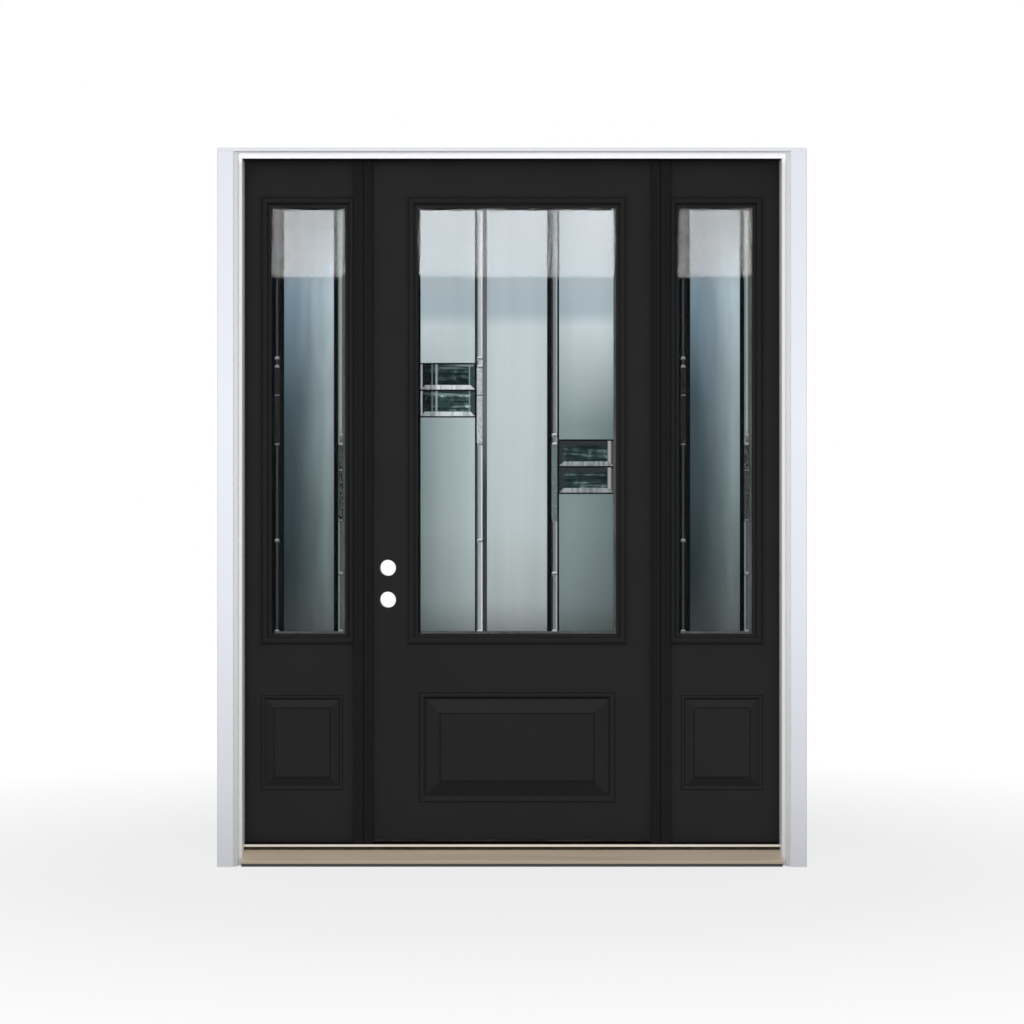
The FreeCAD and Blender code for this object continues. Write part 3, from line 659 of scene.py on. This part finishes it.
class Tree:
    """A small Geometry Nodes tree with named inputs."""

    def __init__(self, name, inputs):
        self.group = bpy.data.node_groups.new(name, "GeometryNodeTree")
        face = self.group.interface
        face.new_socket("Geometry", in_out="INPUT", socket_type="NodeSocketGeometry")
        self.keys = {}
        for label, kind in inputs:
            self.keys[label] = face.new_socket(label, in_out="INPUT", socket_type=kind).identifier
        face.new_socket("Geometry", in_out="OUTPUT", socket_type="NodeSocketGeometry")
        self.input = self.group.nodes.new("NodeGroupInput")
        self.output = self.group.nodes.new("NodeGroupOutput")

    def add(self, kind, links=(), mode=None, **values):
        """A node with links to its inputs, and plain values on the rest."""
        node = self.group.nodes.new(kind)
        if mode is not None:
            node.mode = mode
        for socket, source in links:
            self.group.links.new(source, node.inputs[socket])
        for socket, value in values.items():
            node.inputs[socket.replace("_", " ")].default_value = value
        return node

    def given(self, label):
        return self.input.outputs[label]

    def joined(self, nodes):
        """The geometry of several nodes as one."""
        whole = self.add("GeometryNodeJoinGeometry")
        for node in nodes:
            self.group.links.new(node.outputs[0], whole.inputs[0])
        return whole.outputs[0]

    def painted(self, geometry, finish):
        return self.add("GeometryNodeSetMaterial", [("Geometry", geometry), ("Material", finish)])

    def realized(self, geometry):
        return self.add("GeometryNodeRealizeInstances", [("Geometry", geometry)])

    def close(self, node):
        self.group.links.new(node.outputs[0], self.output.inputs[0])

    def grow(self, seed, values):
        """The plain mesh that the tree makes from a seed mesh."""
        holder = bpy.data.objects.new(seed.name, seed)
        scene.collection.objects.link(holder)
        modifier = holder.modifiers.new("tree", "NODES")
        modifier.node_group = self.group
        for label, value in values.items():
            modifier[self.keys[label]] = value
        graph = bpy.context.evaluated_depsgraph_get()
        mesh = bpy.data.meshes.new_from_object(holder.evaluated_get(graph))
        bpy.data.objects.remove(holder)
        return mesh


def bar_tree():
    """Rounded bars swept along straight lines."""
    tree = Tree("came_bars", [("Width", "NodeSocketFloat"), ("Depth", "NodeSocketFloat"),
                              ("Round", "NodeSocketFloat"), ("Finish", "NodeSocketMaterial")])
    lines = tree.add("GeometryNodeMeshToCurve", [("Mesh", tree.given("Geometry"))])
    facing = tree.add("GeometryNodeSetCurveNormal", [("Curve", lines.outputs[0])],
                      mode="FREE", Normal=(0, -1, 0))
    section = tree.add("GeometryNodeCurvePrimitiveQuadrilateral",
                       [("Width", tree.given("Depth")), ("Height", tree.given("Width"))])
    rounded = tree.add("GeometryNodeFilletCurve",
                       [("Curve", section.outputs[0]), ("Radius", tree.given("Round"))], mode="POLY", Count=4)
    swept = tree.add("GeometryNodeCurveToMesh",
                     [("Curve", facing.outputs[0]), ("Profile Curve", rounded.outputs[0])], Fill_Caps=True)
    tree.close(tree.painted(tree.realized(swept.outputs[0]).outputs[0], tree.given("Finish")))
    return tree


def dome_tree():
    """Low domes on points."""
    tree = Tree("domes", [("Size", "NodeSocketVector"), ("Finish", "NodeSocketMaterial")])
    ball = tree.add("GeometryNodeMeshUVSphere", Segments=12, Rings=7, Radius=1.0)
    soft = tree.add("GeometryNodeSetShadeSmooth", [("Geometry", ball.outputs[0])])
    shaped = tree.add("GeometryNodeTransform", [("Geometry", soft.outputs[0]), ("Scale", tree.given("Size"))])
    spread = tree.add("GeometryNodeInstanceOnPoints",
                      [("Points", tree.given("Geometry")), ("Instance", shaped.outputs[0])])
    tree.close(tree.painted(tree.realized(spread.outputs[0]).outputs[0], tree.given("Finish")))
    return tree


def screw_tree():
    """Flat screw heads with a cross recess, on points, turned to face along one axis."""
    tree = Tree("screws", [("Radius", "NodeSocketFloat"), ("Turn", "NodeSocketVector"),
                           ("Finish", "NodeSocketMaterial"), ("Recess", "NodeSocketMaterial")])
    radius = tree.given("Radius")

    def times(share):
        node = tree.add("ShaderNodeMath", [(0, radius)])
        node.operation = "MULTIPLY"
        node.inputs[1].default_value = share
        return node.outputs[0]

    rim = tree.add("GeometryNodeMeshCone", [("Radius Top", times(HEAD_TOP)), ("Radius Bottom", radius),
                                            ("Depth", times(HEAD_DEPTH))], Vertices=20)
    head = tree.painted(rim.outputs[0], tree.given("Finish"))
    arms = []
    for long, wide in ((RECESS_LENGTH, RECESS_WIDTH), (RECESS_WIDTH, RECESS_LENGTH)):
        size = tree.add("ShaderNodeCombineXYZ",
                        [("X", times(long)), ("Y", times(wide)), ("Z", times(RECESS_DEPTH))])
        arm = tree.add("GeometryNodeMeshCube", [("Size", size.outputs[0])])
        lift = tree.add("ShaderNodeCombineXYZ", [("Z", times(RECESS_LIFT))])
        arms.append(tree.add("GeometryNodeTransform",
                             [("Geometry", arm.outputs[0]), ("Translation", lift.outputs[0])]))
    cross = tree.painted(tree.joined(arms), tree.given("Recess"))
    turned = tree.add("FunctionNodeEulerToRotation", [(0, tree.given("Turn"))])
    spread = tree.add("GeometryNodeInstanceOnPoints",
                      [("Points", tree.given("Geometry")), ("Instance", tree.joined([head, cross])),
                       ("Rotation", turned.outputs[0])])
    tree.close(tree.realized(spread.outputs[0]))
    return tree


def seed_of(name, points, edges=()):
    mesh = bpy.data.meshes.new(name)
    mesh.from_pydata([tuple(p) for p in points], list(edges), [])
    return mesh


def joined(name, meshes):
    """Several meshes as one object at the origin, each with its own finishes kept."""
    order = []
    for mesh in meshes:
        for material in mesh.materials:
            if material is not None and material not in order:
                order.append(material)
    whole = bmesh.new()
    for mesh in meshes:
        slots = [order.index(m) if m is not None else 0 for m in mesh.materials] or [0]
        start = len(whole.faces)
        whole.from_mesh(mesh)
        whole.faces.ensure_lookup_table()
        for face in whole.faces[start:]:
            face.material_index = slots[min(face.material_index, len(slots) - 1)]
    result = bpy.data.meshes.new(name)
    whole.to_mesh(result)
    whole.free()
    for material in order:
        result.materials.append(material)
    piece = bpy.data.objects.new(name, result)
    scene.collection.objects.link(piece)
    return piece


def loose_boxes(name):
    """The lowest and highest corners of each separate solid in a CAD node."""
    solid = bmesh.new()
    solid.from_mesh(cad[name].data)
    bmesh.ops.remove_doubles(solid, verts=solid.verts, dist=1e-6)
    left = set(solid.verts)
    boxes = []
    while left:
        group = [left.pop()]
        for vert in group:
            for edge in vert.link_edges:
                other = edge.other_vert(vert)
                if other in left:
                    left.remove(other)
                    group.append(other)
        corners = [[choose(v.co[i] for v in group) for i in range(3)] for choose in (min, max)]
        boxes.append(tuple(Vector(c) for c in corners))
    solid.free()
    return sorted(boxes, key=lambda box: tuple(box[0]))


def columns_of(boxes):
    """The glass pieces sorted into upright columns, left to right, each from the bottom up."""
    columns = {}
    for low, high in boxes:
        columns.setdefault(round(low.x, 3), []).append((low, high))
    return [sorted(columns[key], key=lambda piece: piece[0].z) for key in sorted(columns)]


def is_strip(column):
    return column[0][1].x - column[0][0].x < STRIP_LIMIT


def glass_slab(low, high, finish):
    """One cut piece of glass with its arrises taken off."""
    slab = bmesh.new()
    bmesh.ops.create_cube(slab, size=1.0)
    size, middle = high - low, (high + low) / 2
    for vert in slab.verts:
        vert.co = Vector(c * s for c, s in zip(vert.co, size)) + middle
    bmesh.ops.bevel(slab, geom=slab.edges[:], offset=GLASS_CHAMFER, segments=1, affect="EDGES")
    mesh = bpy.data.meshes.new("glass_slab")
    slab.to_mesh(mesh)
    slab.free()
    mesh.materials.append(finishes[finish])
    return mesh


def bevelled_strip(low, high, finish):
    """One strip of glass with a wide facet along each edge of its outer face."""
    levels = [(low.y, STRIP_FACET), (low.y + STRIP_RISE, 0.0), (high.y, 0.0)]
    points = []
    for y, inset in levels:
        x0, x1, z0, z1 = low.x + inset, high.x - inset, low.z + inset, high.z - inset
        points += [(x0, y, z0), (x1, y, z0), (x1, y, z1), (x0, y, z1)]
    faces = [(0, 1, 2, 3), (11, 10, 9, 8)]
    for level in (0, 4):
        for i in range(4):
            j = (i + 1) % 4
            faces.append((level + j, level + i, level + 4 + i, level + 4 + j))
    mesh = bpy.data.meshes.new("bevelled_strip")
    mesh.from_pydata(points, [], faces)
    mesh.materials.append(finishes[finish])
    return mesh


def cut_glass(columns, bevels, field_finish, strip_finish, grain_finish):
    """The glass between the cames: plain fields, bevelled strips, and two grainy pieces in each strip."""
    slabs = []
    for column in columns:
        grainy = (len(column) - 3, len(column) - 4)
        for index, (low, high) in enumerate(column):
            if (low, high) in bevels:
                continue
            if not is_strip(column):
                slabs.append(glass_slab(low, high, field_finish))
            elif index in grainy:
                slabs.append(glass_slab(low, high, grain_finish))
            else:
                slabs.append(bevelled_strip(low, high, strip_finish))
    return slabs


def came_bars(columns, middle, bottom, top):
    """The bars between the glass pieces, and the points where they meet."""
    runs = {}
    joints = []
    for left, right in zip(columns, columns[1:]):
        x0, x1 = left[0][1].x, right[0][0].x
        upright = ((x0 + x1) / 2, bottom, (x0 + x1) / 2, top)
        runs.setdefault((round(x1 - x0, 4), "came"), []).append(upright)
    for column in columns:
        x0, x1 = column[0][0].x, column[0][1].x
        for below, above in zip(column, column[1:]):
            z0, z1 = below[1].z, above[0].z
            level = (z0 + z1) / 2
            finish = "solder" if is_strip(column) else "came"
            runs.setdefault((round(z1 - z0, 4), finish), []).append((x0, level, x1, level))
            joints += [(x0, level), (x1, level)]
    meshes = []
    for (width, finish), lines in runs.items():
        points = []
        for xa, za, xb, zb in lines:
            points += [(xa, middle, za), (xb, middle, zb)]
        edges = [(2 * i, 2 * i + 1) for i in range(len(lines))]
        meshes.append(bars.grow(seed_of("came_lines", points, edges), {
            "Width": width, "Depth": CAME_DEPTH, "Round": CAME_ROUND, "Finish": finishes[finish]}))
    return meshes, joints


def border_bars(columns, middle, bottom, top):
    """The border came round the whole layer, with a thin tongue along its outer edge."""
    x0, x1 = columns[0][0][0].x, columns[-1][0][1].x
    inset = 0.0
    meshes = []
    for width, depth, arris in ((BORDER_WIDTH, CAME_DEPTH, CAME_ROUND),
                                (TONGUE_WIDTH, TONGUE_DEPTH, TONGUE_ROUND)):
        reach, outer = inset + width / 2, inset + width
        edge = [(x0 - reach, bottom - outer), (x0 - reach, top + outer), (x1 + reach, bottom - outer),
                (x1 + reach, top + outer), (x0 - inset, bottom - reach), (x1 + inset, bottom - reach),
                (x0 - inset, top + reach), (x1 + inset, top + reach)]
        points = [(x, middle, z) for x, z in edge]
        # Painted light and shade: the lighter border finish on the right and the foot, the dark came finish on
        # the left and the top.
        for finish, lines in (("came", [(0, 1), (6, 7)]), ("border", [(2, 3), (4, 5)])):
            meshes.append(bars.grow(seed_of("border_lines", points, lines), {
                "Width": width, "Depth": depth, "Round": arris, "Finish": finishes[finish]}))
        inset = outer
    return meshes


def solder_spots(joints, middle):
    """Low spots of solder where bars meet, on both faces, under the same patina."""
    face = CAME_DEPTH / 2 - SOLDER_SINK
    spots = [(x, middle + side * face, z) for x, z in joints for side in (-1, 1)]
    return domes.grow(seed_of("solder_spots", spots), {
        "Size": (SOLDER_RADIUS, SOLDER_RISE, SOLDER_RADIUS), "Finish": finishes["came"]})


def leaded_layer(prefix, body, *glass_finishes):
    """The leaded layer of one lite: cut glass, rounded cames and soldered joints."""
    glass = loose_boxes(prefix + "_decor_glass")
    bevels = loose_boxes(prefix + "_bevels") if prefix + "_bevels" in cad else []
    columns = columns_of(glass + bevels)
    middle = (glass[0][0].y + glass[0][1].y) / 2
    bottom, top = columns[0][0][0].z, columns[0][-1][1].z
    pieces = joined(prefix + "_cut_glass", cut_glass(columns, bevels, *glass_finishes))
    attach(pieces, body)
    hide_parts(prefix + "_decor_glass")

    meshes, joints = came_bars(columns, middle, bottom, top)
    meshes += border_bars(columns, middle, bottom, top)
    meshes.append(solder_spots(joints, middle))
    cames = joined(prefix + "_soldered_cames", meshes)
    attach(cames, body)
    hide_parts(prefix + "_cames")


def hinge_screws(node, body, face_x, turn):
    """Countersunk screws in the plates of the three hinges, staggered in two rows."""
    spots = []
    for low, _ in loose_boxes(node):
        for index, rise in enumerate(HINGE_SCREW_ROWS):
            spots.append((face_x, low.y + HINGE_SCREW_INSETS[index % 2], low.z + rise))
    mesh = screws.grow(seed_of(node + "_spots", spots), {
        "Radius": HINGE_SCREW_RADIUS, "Turn": turn, "Finish": finishes["hinge"], "Recess": finishes["recess"]})
    piece = joined(node.replace("leaves", "screws"), [mesh])
    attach(piece, body)


def trim_plugs(node, body):
    """Plugs over the screws that draw the two halves of a lite frame together, seen from indoors."""
    low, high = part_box(node)
    x0, x1, z0, z1 = low.x + PLUG_INSET, high.x - PLUG_INSET, low.z + PLUG_INSET, high.z - PLUG_INSET
    face = high.y - PLUG_SINK
    spots = []
    for start, end, level, upright in ((z0, z1, x0, True), (z0, z1, x1, True),
                                       (x0, x1, z0, False), (x0, x1, z1, False)):
        count = max(1, round((end - start) / PLUG_SPACING))
        for index in range(count):
            along = start + (index + 0.5) * (end - start) / count
            spots.append((level, face, along) if upright else (along, face, level))
    mesh = domes.grow(seed_of(node + "_spots", spots), {
        "Size": (PLUG_RADIUS, PLUG_RISE, PLUG_RADIUS), "Finish": finishes["trim"]})
    piece = joined(node.replace("inner_trim", "trim_plugs"), [mesh])
    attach(piece, body)


bars, domes, screws = bar_tree(), dome_tree(), screw_tree()
leaded_layer("door", "door", "leaf_glass", "strip", "granite")
for side in ("left", "right"):
    leaded_layer(side + "_sidelight", "frame", "sidelight_glass", "smoky_strip", "smoky_granite")
leaf_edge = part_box("door_slab")[1].x
hinge_screws("door_hinge_leaves", "door", leaf_edge, (0, math.pi / 2, 0))
hinge_screws("frame_hinge_leaves", "frame", leaf_edge + HINGE_GAP, (0, -math.pi / 2, 0))
trim_plugs("door_inner_trim", "door")
trim_plugs("left_sidelight_inner_trim", "frame")
trim_plugs("right_sidelight_inner_trim", "frame")


def seen_ray(tree):
    """One for a ray that sees the studio directly, in a reflection or through glass."""
    path = tree.nodes.new("ShaderNodeLightPath")
    seen = path.outputs["Is Camera Ray"]
    for other in ("Is Glossy Ray", "Is Transmission Ray"):
        either = tree.nodes.new("ShaderNodeMath")
        either.operation = "MAXIMUM"
        tree.links.new(seen, either.inputs[0])
        tree.links.new(path.outputs[other], either.inputs[1])
        seen = either.outputs[0]
    return seen


def white_over(tree, share, plain, white, output):
    """Ends a studio tree: white by a share, over its plain shader."""
    mix = tree.nodes.new("ShaderNodeMixShader")
    for socket, source in enumerate((share, plain.outputs[0], white.outputs[0])):
        tree.links.new(source, mix.inputs[socket])
    tree.links.new(mix.outputs[0], tree.nodes[output].inputs["Surface"])


def white_world():
    """White where it is seen, mirrored or seen through glass, and a gentle sky light on the object."""
    world = bpy.data.worlds.new("studio")
    scene.world = world
    world.use_nodes = True
    tree = world.node_tree
    sky = tree.nodes["Background"]
    sky.inputs["Color"].default_value = (0.94, 0.97, 1.0, 1)
    sky.inputs["Strength"].default_value = SKY_STRENGTH
    white = tree.nodes.new("ShaderNodeBackground")
    white.inputs["Color"].default_value = (1, 1, 1, 1)
    white.inputs["Strength"].default_value = 1.0
    white_over(tree, seen_ray(tree), sky, white, "World Output")


def pale_floor():
    """A pale floor that keeps the shadow and runs out to white."""
    h = FLOOR_HALF
    mesh = bpy.data.meshes.new("floor")
    mesh.from_pydata([(-h, -h, 0), (h, -h, 0), (h, h, 0), (-h, h, 0)], [], [(0, 1, 2, 3)])
    floor = bpy.data.objects.new("floor", mesh)
    scene.collection.objects.link(floor)
    f = Finish("pale_floor")
    mesh.materials.append(f.material)
    f.tree.nodes.remove(f.shader)
    lit = f.add("ShaderNodeBsdfDiffuse")
    lit.inputs["Color"].default_value = (0.62, 0.62, 0.63, 1)
    glow = f.add("ShaderNodeEmission")
    glow.inputs["Color"].default_value = (1, 1, 1, 1)
    away = f.add("ShaderNodeVectorMath", operation="LENGTH")
    f.join(f.place, away.inputs[0])
    far = f.spread(away.outputs["Value"], *FLOOR_FADE)
    white_over(f.tree, f.both(far, seen_ray(f.tree)), lit, glow, "Material Output")


def softbox(name, place, target, width, height, power):
    """A soft lamp panel turned towards a point."""
    lamp = bpy.data.lights.new(name, "AREA")
    lamp.shape = "RECTANGLE"
    lamp.size, lamp.size_y = width, height
    lamp.energy = power
    panel = bpy.data.objects.new(name, lamp)
    panel.location = place
    panel.rotation_mode = "QUATERNION"
    panel.rotation_quaternion = (Vector(target) - Vector(place)).to_track_quat("-Z", "Y")
    panel.visible_camera = False
    panel.visible_transmission = False
    scene.collection.objects.link(panel)
    return panel


white_world()
pale_floor()
key = softbox("key_panel", place=(-0.3, -6.6, 2.1), target=(0, 0, 1.05), width=3.6, height=2.6, power=290)
key.visible_glossy = False
# A lamp that only the panes mirror, as a pale band across the top of the lites
band = softbox("glass_band", place=(0, -8.0, 3.25), target=(0, 0, 3.25), width=3.6, height=1.43, power=830)
panes = bpy.data.collections.new("panes")
for name in NODE_FINISHES["pane"]:
    panes.objects.link(cad[name])
band.light_linking.receiver_collection = panes
band.visible_diffuse = False

eye = bpy.data.objects.new("eye", bpy.data.cameras.new("eye"))
eye.location = (0, -EYE_DISTANCE, EYE_HEIGHT)
eye.rotation_euler = (math.pi / 2, 0, 0)
eye.data.sensor_width = SENSOR
eye.data.lens = LENS
scene.collection.objects.link(eye)
scene.camera = eye
